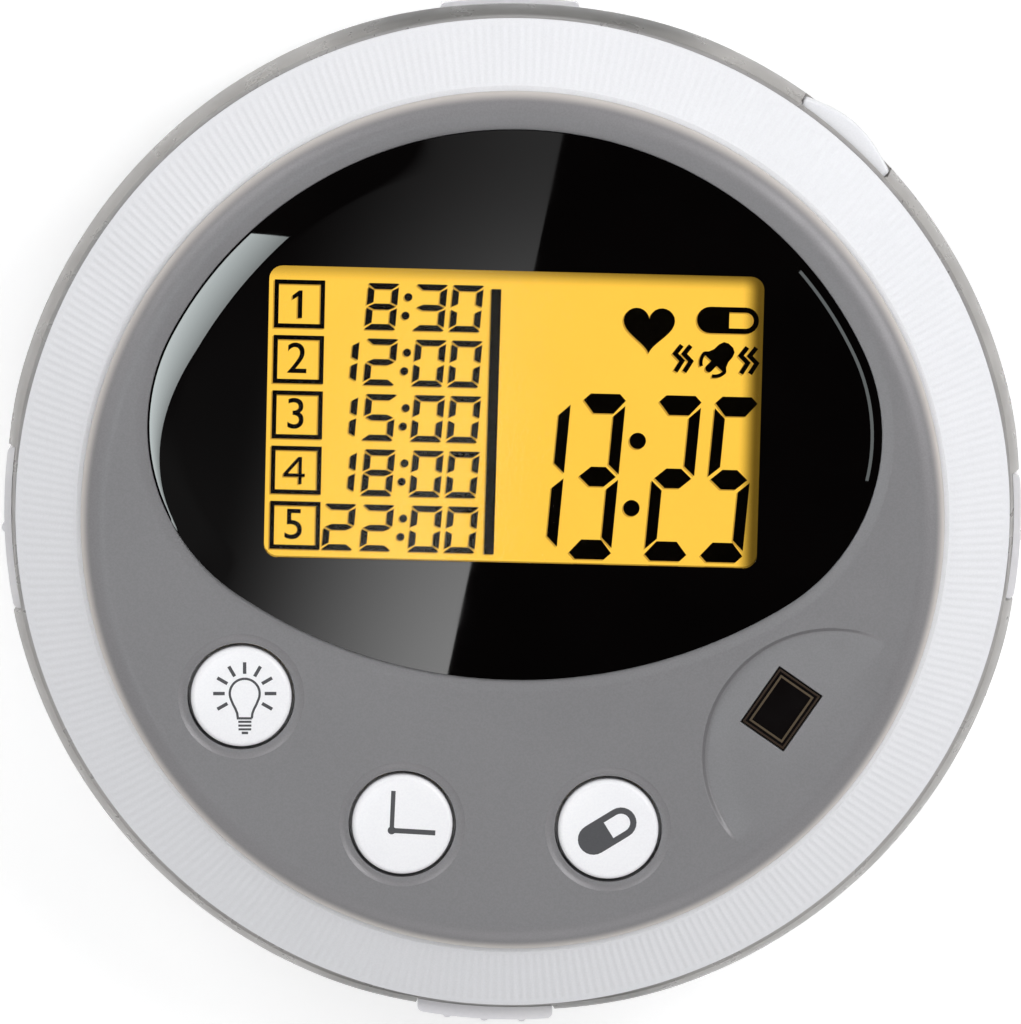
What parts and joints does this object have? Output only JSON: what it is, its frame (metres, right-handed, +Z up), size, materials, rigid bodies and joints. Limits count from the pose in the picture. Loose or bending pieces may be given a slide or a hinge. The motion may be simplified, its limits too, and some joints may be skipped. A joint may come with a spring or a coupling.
{
  "type": "electronic pill box",
  "caption": "Round electronic pill box: an alarm timer with a lit display that swivels on a clear case of swing-out trays.",
  "frame": {"origin": "middle of the surface that the four rubber feet stand on", "axes": "+Z up through the display, +Y towards the top of the display, +X to its right"},
  "size_m": [0.0981, 0.0991, 0.0293],
  "materials": {
    "frosted_case": "frosted clear",
    "frosted_tray": "clear",
    "foot_rubber": "matt",
    "white_plastic": "satin",
    "white_button": "satin",
    "grey_face": "soft touch",
    "black_lens": "gloss",
    "smoked_window": "smoked",
    "amber_display": "lit",
    "board": "solder mask",
    "black_epoxy": "moulded",
    "red_lamp": "clear",
    "steel": "bright",
    "brass": "bright"
  },
  "bodies": {
    "case": {"base_shell": "frosted_case", "case_top": "frosted_case", "catch_spring": "steel", "right_foot": "foot_rubber", "right_tray_pin": "steel", "right_case_screw": "steel", "rear_foot": "foot_rubber", "rear_tray_pin": "steel", "rear_case_screw": "steel", "left_foot": "foot_rubber", "left_tray_pin": "steel", "left_case_screw": "steel", "front_foot": "foot_rubber", "front_tray_pin": "steel", "front_case_screw": "steel"},
    "right_drawer": {"right_tray": "frosted_tray"},
    "rear_drawer": {"rear_tray": "frosted_tray"},
    "left_drawer": {"left_tray": "frosted_tray"},
    "front_drawer": {"front_tray": "frosted_tray"},
    "catch": {"release_catch": "white_plastic"},
    "timer_head": {"timer_base": "white_plastic", "grip_ring": "white_plastic", "face_cover": "grey_face", "display_lens": "black_lens", "lcd_glass": "amber_display", "backlight": "amber_display", "upper_lcd_connector": "foot_rubber", "lower_lcd_connector": "foot_rubber", "circuit_board": "board", "controller_chip": "black_epoxy", "light_switch": "black_epoxy", "clock_switch": "black_epoxy", "pill_switch": "black_epoxy", "sensor_window": "smoked_window", "indicator_led": "red_lamp", "buzzer": "black_epoxy", "vibration_motor": "steel", "battery_door": "white_plastic", "door_screw": "steel", "top_head_screw": "steel", "left_head_screw": "steel", "bottom_head_screw": "steel", "right_head_screw": "steel", "left_coin_cell": "steel", "left_battery_contact": "brass", "right_coin_cell": "steel", "right_battery_contact": "brass"},
    "light_key": {"light_button": "white_button"},
    "clock_key": {"clock_button": "white_button"},
    "pill_key": {"pill_button": "white_button"},
    "weight": {"motor_weight": "brass"}
  },
  "joints": [
    {"name": "right_tray_swing", "type": "hinge", "parent": "case", "child": "right_drawer", "pos_m": [0.03506, 0.02869, 0.0029], "axis": [0, 0, 1], "range_deg": [0, 70]},
    {"name": "rear_tray_swing", "type": "hinge", "parent": "case", "child": "rear_drawer", "pos_m": [-0.02869, 0.03506, 0.0029], "axis": [0, 0, 1], "range_deg": [0, 70]},
    {"name": "left_tray_swing", "type": "hinge", "parent": "case", "child": "left_drawer", "pos_m": [-0.03506, -0.02869, 0.0029], "axis": [0, 0, 1], "range_deg": [0, 70]},
    {"name": "front_tray_swing", "type": "hinge", "parent": "case", "child": "front_drawer", "pos_m": [0.02869, -0.03506, 0.0029], "axis": [0, 0, 1], "range_deg": [0, 70]},
    {"name": "catch_press", "type": "slide", "parent": "case", "child": "catch", "axis": [-0.6414, -0.7672, 0], "range_m": [0, 0.0009], "stiffness_N_per_m": 900, "springref_m": -0.0006, "deforming": ["catch_spring"]},
    {"name": "timer_swivel", "type": "hinge", "parent": "case", "child": "timer_head", "pos_m": [0, 0, 0.017], "axis": [0, 0, 1], "continuous": true},
    {"name": "light_button_press", "type": "slide", "parent": "timer_head", "child": "light_key", "axis": [0, 0, -1], "range_m": [0, 0.0005], "stiffness_N_per_m": 1500, "springref_m": -0.0005},
    {"name": "clock_button_press", "type": "slide", "parent": "timer_head", "child": "clock_key", "axis": [0, 0, -1], "range_m": [0, 0.0005], "stiffness_N_per_m": 1500, "springref_m": -0.0005},
    {"name": "pill_button_press", "type": "slide", "parent": "timer_head", "child": "pill_key", "axis": [0, 0, -1], "range_m": [0, 0.0005], "stiffness_N_per_m": 1500, "springref_m": -0.0005},
    {"name": "motor_spin", "type": "hinge", "parent": "timer_head", "child": "weight", "pos_m": [0.003, -0.0125, 0.0227], "axis": [1, 0, 0], "continuous": true}
  ]
}
